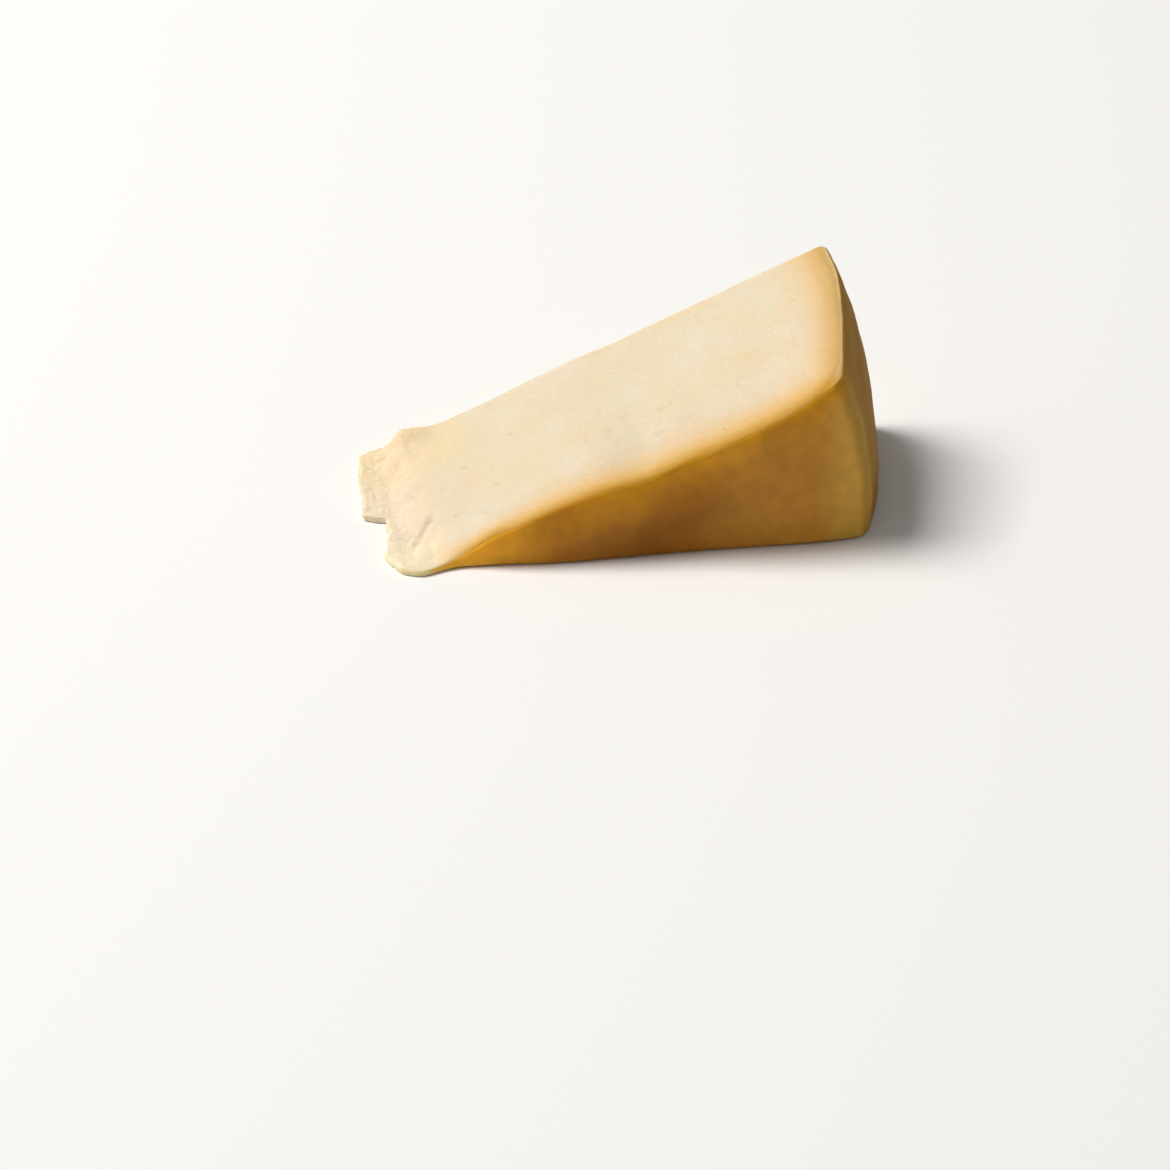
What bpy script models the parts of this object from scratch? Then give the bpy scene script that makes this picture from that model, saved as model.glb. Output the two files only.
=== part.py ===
"""A wedge of parmesan, lying on one of its cut faces.

The wheel, a barrel-shaped drum, was first cut in half across its height, and the wedge was cut from one
half. Metres, +Z up. X runs from the wheel's axis to its rim, Y from the wheel's flat rind face, in front, to
the cut through the middle of its height, at the back, and Z up from the lower cut face. The broken tip points
to -X and the curved rind rim to +X. The lower cut face is flat, on the plane Z = 0, and the origin lies on
it, under the middle of the wedge's box.
"""

import math

import bmesh
import bpy
import numpy as np
from mathutils import Matrix

# The half wheel: its flat rind face falls away towards its edge, and its rim swells out to the wheel's
# middle.
HALF_HEIGHT = 0.1024
MIDDLE_RADIUS = 0.2226
BARREL_SWELL = 0.0172
FLAT_FACE_CROWN = 0.0012
FACE_FALL = 0.0036
FALL_REACH = 0.0400

# The four upright corners, rounded: at the rim or the tip, at the back or the front, and how widely.
UPRIGHT_CORNERS = (
    (True, False, 0.0050),
    (True, True, 0.0040),
    (False, True, 0.0085),
    (False, False, 0.0030),
)

# The two knife cuts. The upper one is twisted, so that the wedge is thicker towards its back. They would
# meet along a line that stands a little off the wheel's axis.
WEDGE_ANGLE = math.radians(21.98)
WEDGE_TWIST = math.radians(2.27)
MEETING_AT_FRONT = 0.0069
MEETING_AT_BACK = -0.0022

# The tip, crumbled off: its back half ends past the wheel's axis, and its front half has a bite out of it.
TIP_END = -0.0075
TIP_SLANT = 0.0032
TIP_BITE = 0.0095
BITE_END = 0.0445
BITE_EASE = 0.0024
BITE_RIDGE = 0.0018
RIDGE_PLACE = 0.0120
RIDGE_REACH = 0.0050
CORNER_CHIP = 0.0030
CHIP_REACH = 0.0090
TIP_RAGGEDNESS = 0.00022
TIP_LEAN = 0.0009
TIP_THICKENING = 0.0046
TIP_FADE = 0.0120
LEAST_THICKNESS = 0.0030

# The tip's front edge is worn down to a thin foot that spreads forward.
WORN_SHARE = 0.90
WORN_START = 0.0180
WORN_END = 0.0460
WORN_REACH = 0.0150
FOOT_SPREAD = 0.0050
FOOT_PLACE = 0.0120
FOOT_REACH = 0.0090

# A lump of torn cheese stands up at the tip's back edge.
LUMP_PLACE = 0.0155
LUMP_STEEP_SIDE = 0.0040
LUMP_GENTLE_SIDE = 0.0100
LUMP_HEIGHT = 0.0052
LUMP_REACH = 0.0150

# Where the knife wandered: a low hump near the tip, then a long shallow dip, deepest in a hollow at its
# start, that ends before the rind.
HUMP_PLACE = 0.0716
HUMP_LENGTH = 0.0192
HUMP_HEIGHT = 0.0010
DIP_START = 0.0990
DIP_END = 0.1770
DIP_EASE = 0.0122
DIP_DEPTH = 0.0030
HOLLOW_PLACE = 0.1100
HOLLOW_LENGTH = 0.0170
HOLLOW_DEPTH = 0.0010
BACK_SHARE = 0.05

# Crags: rounded crumbs of the broken paste, highest at the tip, and a crack in front of which a flake sank.
CRAG_SIZE = 0.0075
CRAG_HEIGHT = 0.0016
CRAG_FADE = 0.0240
CRAG_MIDDLE = 0.4
CRAG_COUNT = 330
CRAG_SEED = 17
CRACK_FROM = (0.0045, 0.0030)
CRACK_TO = (0.0250, 0.0400)
CRACK_WIDTH = 0.0021
CRACK_DEPTH = 0.0022

# The slow unevenness of the whole surface, as sine waves: length of the wave, height, direction and phase.
RIND_WAVES = (
    (0.090, 0.00050, (1.0, 0.4, 0.7), 0.3),
    (0.061, 0.00040, (-0.5, 1.0, 0.3), 1.9),
    (0.037, 0.00018, (0.8, -0.7, 0.9), 4.1),
    (0.023, 0.00010, (0.2, 0.9, -1.0), 2.6),
)

# How many cells each side of the block is divided into, and how closely they crowd to its edges.
CELLS_ALONG = 60
CELLS_ACROSS = 32
CELLS_UP = 10
CROWDING = 0.62

PASTE_COLOUR = (0.855, 0.735, 0.520)
RIND_COLOUR = (0.560, 0.330, 0.095)


def ease(x, start, end):
    """0 before start, 1 after end, and a smooth S between them."""
    t = np.clip((x - start) / (end - start), 0.0, 1.0)
    return t * t * (3.0 - 2.0 * t)


def hill(x, middle, reach):
    """A bell of height 1 at middle, falling to a third at reach on either side."""
    return np.exp(-(((x - middle) / reach) ** 2))


def crowded(s):
    """Evenly spaced s, from 0 to 1, drawn towards both ends."""
    return s - CROWDING * np.sin(2.0 * np.pi * s) / (2.0 * np.pi)


def plain_cut(x, y):
    """Height of the upper cut face over the lower one, as the knife left it: a twisted plane."""
    share = y / HALF_HEIGHT
    slope = np.tan(WEDGE_ANGLE + WEDGE_TWIST * share)
    meeting = MEETING_AT_FRONT + (MEETING_AT_BACK - MEETING_AT_FRONT) * share
    return slope * (x - meeting)


def rim_distance(y, w):
    """X of the rim at a depth y behind the front face, at share w of the way up from cut to cut."""
    radius = MIDDLE_RADIUS - BARREL_SWELL * (1.0 - y / HALF_HEIGHT) ** 2
    x = radius
    for _ in range(6):
        x = np.sqrt(radius**2 - (w * plain_cut(x, y)) ** 2)
    return x


def tip_distance(y):
    """X at which the crumbled tip ends, at a depth y behind the front face."""
    ragged = np.sin(y / 0.0021) + 0.8 * np.sin(y / 0.0037 + 1.0) + 0.6 * np.sin(y / 0.0013 + 2.0)
    slant = TIP_SLANT * (y - BITE_END) / (HALF_HEIGHT - BITE_END)
    bite = TIP_BITE * (1.0 - ease(y, BITE_END - BITE_EASE, BITE_END + BITE_EASE))
    ridge = BITE_RIDGE * hill(y, RIDGE_PLACE, RIDGE_REACH)
    chip = CORNER_CHIP * (1.0 - ease(y, 0.0, CHIP_REACH))
    return TIP_END + slant + bite + chip - ridge + TIP_RAGGEDNESS * ragged


def rounded_corner(a, b, size):
    """Takes a corner square of that size to a quarter disc, keeping its two inner sides."""
    return a * np.sqrt(1.0 - 0.5 * (b / size) ** 2), b * np.sqrt(1.0 - 0.5 * (a / size) ** 2)


def outline(u, v, w):
    """X and Y of the point at share u from tip to rim, v from front to back and w from cut to cut."""
    y = HALF_HEIGHT * v
    tip = tip_distance(y) + TIP_LEAN * w * np.sin(y / 0.0043)
    rim = rim_distance(y, w)
    x = tip + (rim - tip) * u
    for at_rim, at_back, size in UPRIGHT_CORNERS:
        over_x = np.clip(x - (rim - size) if at_rim else tip + size - x, 0.0, size)
        over_y = np.clip(y - (HALF_HEIGHT - size) if at_back else size - y, 0.0, size)
        new_x, new_y = rounded_corner(over_x, over_y, size)
        x = x + (new_x - over_x) * (1.0 if at_rim else -1.0)
        y = y + (new_y - over_y) * (1.0 if at_back else -1.0)
    return x, y


def knife_wander(x, y):
    """How far the upper cut rises above its twisted plane, less towards the back."""
    across = 1.0 - (1.0 - BACK_SHARE) * y / HALF_HEIGHT
    hump = HUMP_HEIGHT * hill(x, HUMP_PLACE, HUMP_LENGTH)
    into = ease(x, DIP_START - DIP_EASE, DIP_START + DIP_EASE)
    out_of = ease(x, DIP_END - DIP_EASE, DIP_END + DIP_EASE)
    hollow = HOLLOW_DEPTH * hill(x, HOLLOW_PLACE, HOLLOW_LENGTH)
    return across * (hump - hollow - DIP_DEPTH * (into - out_of))


def crags(x, y):
    """Rounded crumbs: a dome over each of many seeded centres, the highest dome winning everywhere."""
    draw = np.random.default_rng(CRAG_SEED)
    centres = draw.uniform((-0.010, -0.010), (0.075, HALF_HEIGHT + 0.010), (CRAG_COUNT, 2))
    lifts = draw.uniform(0.0, 1.0, CRAG_COUNT)
    domes = np.full(len(x), -9.0)
    for (middle_x, middle_y), lift in zip(centres, lifts):
        away = np.hypot(x - middle_x, y - middle_y) / CRAG_SIZE
        domes = np.maximum(domes, lift - away**2)
    fading = hill(np.clip(x, 0.0, None), 0.0, CRAG_FADE)
    return CRAG_HEIGHT * (np.clip(domes, -1.0, 1.0) - CRAG_MIDDLE) * fading


def crack(x, y):
    """A groove along a straight line, deepest in its middle."""
    start = np.array(CRACK_FROM)
    along = np.array(CRACK_TO) - start
    length = math.hypot(*along)
    t = ((x - start[0]) * along[0] + (y - start[1]) * along[1]) / length**2
    away = ((x - start[0]) * along[1] - (y - start[1]) * along[0]) / length
    inside = ease(t, 0.0, 0.3) * (1.0 - ease(t, 0.7, 1.0))
    return -CRACK_DEPTH * inside * hill(away, 0.0, CRACK_WIDTH)


def cut_height(x, y):
    """Height of the upper side over the lower cut face, with everything that wear and breaking did to it."""
    plain = plain_cut(x, y) + TIP_THICKENING * np.exp(-(x - TIP_END) / TIP_FADE)
    worn = WORN_SHARE * (1.0 - ease(x, WORN_START, WORN_END)) * hill(y, 0.0, WORN_REACH)
    plain = plain * (1.0 - worn) + LEAST_THICKNESS * worn
    lump_side = np.where(x < LUMP_PLACE, LUMP_STEEP_SIDE, LUMP_GENTLE_SIDE)
    lump = LUMP_HEIGHT * hill(x, LUMP_PLACE, lump_side) * ease(y, HALF_HEIGHT - LUMP_REACH, HALF_HEIGHT)
    uneven = knife_wander(x, y) + crags(x, y) + crack(x, y)
    return np.maximum(plain + lump + uneven, LEAST_THICKNESS)


def waves(points):
    """The slow unevenness, as a displacement of the same size along each of the three axes."""
    total = np.zeros(len(points))
    for length, height, direction, phase in RIND_WAVES:
        way = np.array(direction) / np.linalg.norm(direction)
        total += height * np.sin(2.0 * np.pi * (points @ way) / length + phase)
    return total


def wedge_points(block):
    """Where each point of the unit block lies in the wedge: X from tip to rim, Y front to back, Z up."""
    u, v, w = crowded(block[:, 0]), crowded(block[:, 1]), crowded(block[:, 2])
    x, y = outline(u, v, w)
    z = w * cut_height(x, y)
    crown = FLAT_FACE_CROWN * np.sin(np.pi * np.clip(x / MIDDLE_RADIUS, 0.0, 1.0))
    foot = FOOT_SPREAD * hill(x, FOOT_PLACE, FOOT_REACH) * (1.0 - ease(v, 0.0, 0.12))
    fall = FACE_FALL * np.clip(1.0 - (rim_distance(y, w) - x) / FALL_REACH, 0.0, 1.0) ** 2
    points = np.stack([x, y + (fall - crown) * (1.0 - v) - foot, z], -1)
    slow = waves(points) * ease(x, 0.0, 0.05)
    points[:, 0] += slow
    points[:, 1] += slow * (1.0 - v)
    points[:, 2] += slow * ease(w, 0.0, 0.5)
    return points


def unit_block(cells):
    """A cube primitive from 0 to 1, its edges along each axis divided evenly so that its sides are grids."""
    shape = bmesh.new()
    bmesh.ops.create_cube(shape, size=1.0, matrix=Matrix.Translation((0.5, 0.5, 0.5)))
    for axis, count in enumerate(cells):
        along = [e for e in shape.edges if abs((e.verts[0].co - e.verts[1].co)[axis]) > 0.5]
        bmesh.ops.subdivide_edges(shape, edges=along, cuts=count - 1, use_grid_fill=True)
    mesh = bpy.data.meshes.new("cheese_wedge")
    shape.to_mesh(mesh)
    shape.free()
    return mesh


def side_of_block(mesh, block):
    """For each face, whether it lies on a cut or a broken side of the block, and so shows paste."""
    paste = []
    for face in mesh.polygons:
        corners = block[list(face.vertices)]
        on_cut = np.ptp(corners[:, 2]) < 1e-6 or corners[:, 1].min() > 1.0 - 1e-6
        on_tip = corners[:, 0].max() < 1e-6
        paste.append(on_cut or on_tip)
    return paste


def make_material(name, colour, roughness):
    """A plain finish of one colour."""
    material = bpy.data.materials.new(name)
    material.use_nodes = True
    shader = material.node_tree.nodes["Principled BSDF"]
    shader.inputs["Base Color"].default_value = (*colour, 1.0)
    shader.inputs["Roughness"].default_value = roughness
    shader.inputs["Metallic"].default_value = 0.0
    material.diffuse_color = (*colour, 1.0)
    return material


def make_wedge(collection):
    """The wedge as one closed mesh, its cut and broken sides in paste and the others in rind."""
    mesh = unit_block((CELLS_ALONG, CELLS_ACROSS, CELLS_UP))
    flat = np.empty(len(mesh.vertices) * 3)
    mesh.vertices.foreach_get("co", flat)
    block = np.clip(flat.reshape(-1, 3), 0.0, 1.0)
    points = wedge_points(block)
    low, high = points.min(0), points.max(0)
    points -= np.array([0.5 * (low[0] + high[0]), 0.5 * (low[1] + high[1]), low[2]])
    mesh.vertices.foreach_set("co", points.ravel())
    mesh.materials.append(make_material("cheese_paste", PASTE_COLOUR, 0.62))
    mesh.materials.append(make_material("cheese_rind", RIND_COLOUR, 0.48))
    for face, is_paste in zip(mesh.polygons, side_of_block(mesh, block)):
        face.material_index = 0 if is_paste else 1
    mesh.update()
    mesh.shade_smooth()
    mesh.set_sharp_from_angle(angle=math.radians(40.0))
    wedge = bpy.data.objects.new("cheese_wedge", mesh)
    collection.objects.link(wedge)
    return wedge


def main():
    for obj in list(bpy.data.objects):
        bpy.data.objects.remove(obj)
    collection = bpy.data.collections.new("parmesan")
    bpy.context.scene.collection.children.link(collection)
    make_wedge(collection)


main()
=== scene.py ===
"""A wedge of parmesan on a plain pale floor, under soft studio light from behind and the left.

Metres, +Z up, in the frame of the CAD model: the crumbled tip points to -X, the rind rim to +X and the
wheel's flat rind face to -Y, towards the camera. The wedge lies on its lower cut face, on Z = 0.
"""

import itertools
import math

import bpy
import numpy as np
from mathutils import Matrix, Vector


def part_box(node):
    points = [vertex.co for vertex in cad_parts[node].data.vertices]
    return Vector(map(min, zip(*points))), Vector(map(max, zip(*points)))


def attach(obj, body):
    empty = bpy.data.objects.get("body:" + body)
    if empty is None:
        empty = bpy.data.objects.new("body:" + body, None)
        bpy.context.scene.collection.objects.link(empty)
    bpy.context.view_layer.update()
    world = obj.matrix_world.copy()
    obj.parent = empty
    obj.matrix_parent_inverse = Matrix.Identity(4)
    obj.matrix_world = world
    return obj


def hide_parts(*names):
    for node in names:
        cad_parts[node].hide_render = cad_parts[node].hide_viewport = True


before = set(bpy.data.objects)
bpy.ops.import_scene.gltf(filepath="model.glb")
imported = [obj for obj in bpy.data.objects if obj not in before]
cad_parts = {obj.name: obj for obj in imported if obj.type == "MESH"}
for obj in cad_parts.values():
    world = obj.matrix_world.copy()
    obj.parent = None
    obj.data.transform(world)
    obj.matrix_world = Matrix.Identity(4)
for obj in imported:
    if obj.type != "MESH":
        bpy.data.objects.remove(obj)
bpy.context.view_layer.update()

# The wedge's form. It was cut out of half a barrel-shaped wheel with two strokes of a long knife that met
# near the wheel's axis, and its tip crumbled off. Hard aged paste all through, with the rind on two sides.
HALF_HEIGHT = 0.1024
MIDDLE_RADIUS = 0.2226
BARREL_SWELL = 0.0172
RIM_ROUNDS = 6
FLAT_FACE_CROWN = 0.0012
FACE_FALL = 0.0036
FALL_REACH = 0.0400
WEDGE_ANGLE = math.radians(21.98)
WEDGE_TWIST = math.radians(2.27)
MEETING_AT_FRONT = 0.0069
MEETING_AT_BACK = -0.0022
TIP_END = -0.0075
TIP_SLANT = 0.0032
TIP_BITE = 0.0095
BITE_END = 0.0445
BITE_EASE = 0.0024
BITE_RIDGE = 0.0018
RIDGE_PLACE = 0.0120
RIDGE_REACH = 0.0050
CORNER_CHIP = 0.0030
CHIP_REACH = 0.0090
TIP_RAGGEDNESS = 0.00022
TIP_RAGS = ((0.0021, 1.0, 0.0), (0.0037, 0.8, 1.0), (0.0013, 0.6, 2.0))
TIP_LEAN = 0.0009
LEAN_LENGTH = 0.0043
TIP_THICKENING = 0.0046
TIP_FADE = 0.0120
LEAST_THICKNESS = 0.0030
WORN_SHARE = 0.90
WORN_START = 0.0180
WORN_END = 0.0460
WORN_REACH = 0.0150
FOOT_SPREAD = 0.0050
FOOT_PLACE = 0.0120
FOOT_REACH = 0.0090
FOOT_DEPTH = 0.12
LUMP_PLACE = 0.0155
LUMP_STEEP_SIDE = 0.0040
LUMP_GENTLE_SIDE = 0.0100
LUMP_HEIGHT = 0.0052
LUMP_REACH = 0.0150
HUMP_PLACE = 0.0716
HUMP_LENGTH = 0.0192
HUMP_HEIGHT = 0.0010
DIP_START = 0.0990
DIP_END = 0.1770
DIP_EASE = 0.0122
DIP_DEPTH = 0.0030
HOLLOW_PLACE = 0.1100
HOLLOW_LENGTH = 0.0170
HOLLOW_DEPTH = 0.0010
BACK_SHARE = 0.05
CRAG_SIZE = 0.0075
CRAG_HEIGHT = 0.0016
CRAG_FADE = 0.0240
CRAG_MIDDLE = 0.4
CRAG_COUNT = 330
CRAG_SEED = 17
CRAG_MARGIN = 0.010
CRAG_END = 0.075
CRACK_FROM = (0.0045, 0.0030)
CRACK_TO = (0.0250, 0.0400)
CRACK_WIDTH = 0.0017
CRACK_DEPTH = 0.0010
CRACK_TAPER = 0.3
RIND_WAVES = (
    (0.090, 0.00050, (1.0, 0.4, 0.7), 0.3),
    (0.061, 0.00040, (-0.5, 1.0, 0.3), 1.9),
    (0.037, 0.00018, (0.8, -0.7, 0.9), 4.1),
    (0.023, 0.00010, (0.2, 0.9, -1.0), 2.6),
)
WAVES_START = 0.05
WAVES_RISE = 0.5
# The four upright corners, rounded: at the rim or the tip, at the back or the front, and how widely.
UPRIGHT_CORNERS = (
    (True, False, 0.0050),
    (True, True, 0.0040),
    (False, True, 0.0085),
    (False, False, 0.0030),
)
EDGE_SOFTNESS = 0.0024
BACK_EDGE_SOFTNESS = 0.0011
EDGE_CHANGE = (0.3, 0.7)
EDGE_VARIETY = 0.07
EDGE_VARIETY_LENGTH = 0.016
EDGE_MOST = 0.45
SLANT_REACH = 0.0090

# The seeded unevenness: how many sines, how their lengths vary, and what their sum is divided by.
SWELL_COUNT = 14
SWELL_LENGTHS = (0.7, 1.5)
SWELL_MOST = 4.0

# How many cells the block has along, across and up, and where they crowd: place, reach and how much closer.
CELLS = (240, 144, 36)
DENSITY_STEPS = 2001
CROWDS = (
    ((0.0, 0.16, 1.6), (1.0, 0.012, 2.0)),
    ((0.0, 0.020, 2.0), (1.0, 0.015, 1.5)),
    ((0.0, 0.030, 3.0), (1.0, 0.030, 3.0)),
)


def ease(x, start, end):
    """0 before start, 1 after end, and a smooth S between them."""
    t = np.clip((x - start) / (end - start), 0.0, 1.0)
    return t * t * (3.0 - 2.0 * t)


def hill(x, middle, reach):
    """A bell of height 1 at middle, falling to a third at reach on either side."""
    return np.exp(-(((x - middle) / reach) ** 2))


def lattice_lines(cells, crowds):
    """Places from 0 to 1 of the lattice's lines: equal steps of the running total of a density that is 1
    with a bell added at each crowd."""
    s = np.linspace(0.0, 1.0, DENSITY_STEPS)
    density = np.ones_like(s)
    for middle, reach, extra in crowds:
        density += extra * hill(s, middle, reach)
    total = np.concatenate([[0.0], np.cumsum(0.5 * (density[1:] + density[:-1]))])
    return np.interp(np.linspace(0.0, total[-1], cells + 1), total, s)


def block_surface(lines):
    """The points on the six sides of a unit block's lattice, each numbered once, and the four-cornered
    faces of each side, turned outwards."""
    counts = [len(line) for line in lines]
    places = np.indices(counts)
    outside = np.zeros(counts, bool)
    for axis, count in enumerate(counts):
        outside |= (places[axis] == 0) | (places[axis] == count - 1)
    number = np.full(counts, -1)
    number[outside] = np.arange(outside.sum())
    block = np.stack([line[place[outside]] for line, place in zip(lines, places)], -1)
    sides = {}
    for axis, end in itertools.product(range(3), (0, -1)):
        side = np.take(number, end, axis)
        faces = np.stack([side[:-1, :-1], side[1:, :-1], side[1:, 1:], side[:-1, 1:]], -1).reshape(-1, 4)
        outwards = (axis != 1) == (end == -1)
        sides[axis, end] = faces if outwards else faces[:, ::-1]
    return block, sides


def plain_cut(x, y):
    """Height of the upper cut face over the lower one, as the knife left it: a twisted plane."""
    share = y / HALF_HEIGHT
    slope = np.tan(WEDGE_ANGLE + WEDGE_TWIST * share)
    meeting = MEETING_AT_FRONT + (MEETING_AT_BACK - MEETING_AT_FRONT) * share
    return slope * (x - meeting)


def rim_distance(y, w):
    """X of the rim at a depth y behind the front face, at share w of the way up from cut to cut: where a
    circle about the wheel's axis meets that height, found by a few repeated steps."""
    radius = MIDDLE_RADIUS - BARREL_SWELL * (1.0 - y / HALF_HEIGHT) ** 2
    x = radius
    for _ in range(RIM_ROUNDS):
        x = np.sqrt(radius**2 - (w * plain_cut(x, y)) ** 2)
    return x


def tip_distance(y):
    """X at which the crumbled tip ends, at a depth y behind the front face: a slant with a bite, a ridge
    and a chipped corner, and a sum of short sines."""
    ragged = sum(share * np.sin(y / length + phase) for length, share, phase in TIP_RAGS)
    slant = TIP_SLANT * (y - BITE_END) / (HALF_HEIGHT - BITE_END)
    bite = TIP_BITE * (1.0 - ease(y, BITE_END - BITE_EASE, BITE_END + BITE_EASE))
    ridge = BITE_RIDGE * hill(y, RIDGE_PLACE, RIDGE_REACH)
    chip = CORNER_CHIP * (1.0 - ease(y, 0.0, CHIP_REACH))
    return TIP_END + slant + bite + chip - ridge + TIP_RAGGEDNESS * ragged


def rounded_corner(a, b, size):
    """Takes a corner square of that size to a quarter disc, keeping its two inner sides."""
    return a * np.sqrt(1.0 - 0.5 * (b / size) ** 2), b * np.sqrt(1.0 - 0.5 * (a / size) ** 2)


def outline(u, v, w):
    """X and Y of the point at share u from tip to rim, v from front to back and w from cut to cut."""
    y = HALF_HEIGHT * v
    tip = tip_distance(y) + TIP_LEAN * w * np.sin(y / LEAN_LENGTH)
    rim = rim_distance(y, w)
    x = tip + (rim - tip) * u
    for at_rim, at_back, size in UPRIGHT_CORNERS:
        over_x = np.clip(x - (rim - size) if at_rim else tip + size - x, 0.0, size)
        over_y = np.clip(y - (HALF_HEIGHT - size) if at_back else size - y, 0.0, size)
        new_x, new_y = rounded_corner(over_x, over_y, size)
        x = x + (new_x - over_x) * (1.0 if at_rim else -1.0)
        y = y + (new_y - over_y) * (1.0 if at_back else -1.0)
    return x, y


def knife_wander(x, y):
    """How far the upper cut rises above its twisted plane: a hump, a hollow and a long dip, all less
    towards the back."""
    across = 1.0 - (1.0 - BACK_SHARE) * y / HALF_HEIGHT
    hump = HUMP_HEIGHT * hill(x, HUMP_PLACE, HUMP_LENGTH)
    into = ease(x, DIP_START - DIP_EASE, DIP_START + DIP_EASE)
    out_of = ease(x, DIP_END - DIP_EASE, DIP_END + DIP_EASE)
    hollow = HOLLOW_DEPTH * hill(x, HOLLOW_PLACE, HOLLOW_LENGTH)
    return across * (hump - hollow - DIP_DEPTH * (into - out_of))


def crags(x, y):
    """Rounded crumbs: a dome over each of many seeded centres, the highest dome winning everywhere."""
    draw = np.random.default_rng(CRAG_SEED)
    low = (-CRAG_MARGIN, -CRAG_MARGIN)
    high = (CRAG_END, HALF_HEIGHT + CRAG_MARGIN)
    centres = draw.uniform(low, high, (CRAG_COUNT, 2))
    lifts = draw.uniform(0.0, 1.0, CRAG_COUNT)
    domes = np.full(len(x), -np.inf)
    for (middle_x, middle_y), lift in zip(centres, lifts):
        away = np.hypot(x - middle_x, y - middle_y) / CRAG_SIZE
        domes = np.maximum(domes, lift - away**2)
    fading = hill(np.clip(x, 0.0, None), 0.0, CRAG_FADE)
    return CRAG_HEIGHT * (np.clip(domes, -1.0, 1.0) - CRAG_MIDDLE) * fading


def crack(x, y):
    """A groove along a straight line, deepest in its middle."""
    start = np.array(CRACK_FROM)
    along = np.array(CRACK_TO) - start
    length = math.hypot(*along)
    t = ((x - start[0]) * along[0] + (y - start[1]) * along[1]) / length**2
    away = ((x - start[0]) * along[1] - (y - start[1]) * along[0]) / length
    inside = ease(t, 0.0, CRACK_TAPER) * (1.0 - ease(t, 1.0 - CRACK_TAPER, 1.0))
    return -CRACK_DEPTH * inside * hill(away, 0.0, CRACK_WIDTH)


def cut_height(x, y):
    """Height of the upper side over the lower cut face, with everything that wear and breaking did to it."""
    plain = plain_cut(x, y) + TIP_THICKENING * np.exp(-(x - TIP_END) / TIP_FADE)
    worn = WORN_SHARE * (1.0 - ease(x, WORN_START, WORN_END)) * hill(y, 0.0, WORN_REACH)
    plain = plain * (1.0 - worn) + LEAST_THICKNESS * worn
    lump_side = np.where(x < LUMP_PLACE, LUMP_STEEP_SIDE, LUMP_GENTLE_SIDE)
    lump = LUMP_HEIGHT * hill(x, LUMP_PLACE, lump_side) * ease(y, HALF_HEIGHT - LUMP_REACH, HALF_HEIGHT)
    uneven = knife_wander(x, y) + crags(x, y) + crack(x, y)
    return np.maximum(plain + lump + uneven, LEAST_THICKNESS)


def waves(points):
    """The slow unevenness, as a displacement of the same size along each of the three axes."""
    total = np.zeros(len(points))
    for length, height, direction, phase in RIND_WAVES:
        way = np.array(direction) / np.linalg.norm(direction)
        total += height * np.sin(2.0 * np.pi * (points @ way) / length + phase)
    return total


def swell(points, length, seed):
    """Unevenness between about -1 and 1: the sum of sines about that length, in seeded directions."""
    draw = np.random.default_rng(seed)
    total = np.zeros(len(points))
    for _ in range(SWELL_COUNT):
        way = draw.normal(size=3)
        way /= np.linalg.norm(way)
        turns = points @ way / (length * draw.uniform(*SWELL_LENGTHS))
        total += np.sin(2.0 * np.pi * (turns + draw.uniform()))
    return total / SWELL_MOST


def soft_edges(points, block, spans, size):
    """Rounds the edges above and below: within that size of both, the distances to the nearest upright side
    and to the nearest cut are taken from a square to a quarter disc. Points by an upright corner are drawn
    in aslant."""
    away = [np.minimum(s, 1.0 - s) * span for s, span in zip(block.T, spans)]
    by_side = 1.0 - np.clip(np.minimum(away[0], away[1]) / size, 0.0, 1.0)
    by_cut = 1.0 - np.clip(away[2] / size, 0.0, 1.0)
    new_side, new_cut = rounded_corner(by_side, by_cut, 1.0)
    aim = np.stack([1.0 - np.clip(away[axis] / SLANT_REACH, 0.0, 1.0) for axis in (0, 1)], -1)
    aim /= np.maximum(np.linalg.norm(aim, axis=1, keepdims=True), 1e-9)
    inwards = np.where(block < 0.5, 1.0, -1.0)
    softened = points.copy()
    softened[:, :2] += inwards[:, :2] * aim * (size * (by_side - new_side))[:, None]
    softened[:, 2] += inwards[:, 2] * size * (by_cut - new_cut)
    return softened


def outward(points, faces):
    """The surface's direction at each point: the sum of the cross products of its faces' diagonals."""
    corners = points[faces]
    normals = np.cross(corners[:, 2] - corners[:, 0], corners[:, 3] - corners[:, 1])
    spread = np.repeat(normals, 4, axis=0)
    total = np.stack([np.bincount(faces.ravel(), part, len(points)) for part in spread.T], -1)
    return total / np.linalg.norm(total, axis=1, keepdims=True)


lines = [lattice_lines(cells, crowds) for cells, crowds in zip(CELLS, CROWDS)]
block, sides = block_surface(lines)
u, v, w = block.T
wheel_x, wheel_y = outline(u, v, w)
height = cut_height(wheel_x, wheel_y)

# The flat face bulges a little in its middle, spreads at its worn foot by the tip and falls back to the rim.
crown = FLAT_FACE_CROWN * np.sin(np.pi * np.clip(wheel_x / MIDDLE_RADIUS, 0.0, 1.0))
foot = FOOT_SPREAD * hill(wheel_x, FOOT_PLACE, FOOT_REACH) * (1.0 - ease(v, 0.0, FOOT_DEPTH))
fall = FACE_FALL * np.clip(1.0 - (rim_distance(wheel_y, w) - wheel_x) / FALL_REACH, 0.0, 1.0) ** 2
points = np.stack([wheel_x, wheel_y + (fall - crown) * (1.0 - v) - foot, w * height], -1)
slow = waves(points) * ease(wheel_x, 0.0, WAVES_START)
points += slow[:, None] * np.stack([np.ones_like(v), 1.0 - v, ease(w, 0.0, WAVES_RISE)], -1)
low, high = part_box("cheese_wedge")
middle = 0.5 * (points.min(0) + points.max(0))
points += np.array([0.5 * (low.x + high.x) - middle[0], 0.5 * (low.y + high.y) - middle[1], low.z])
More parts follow.
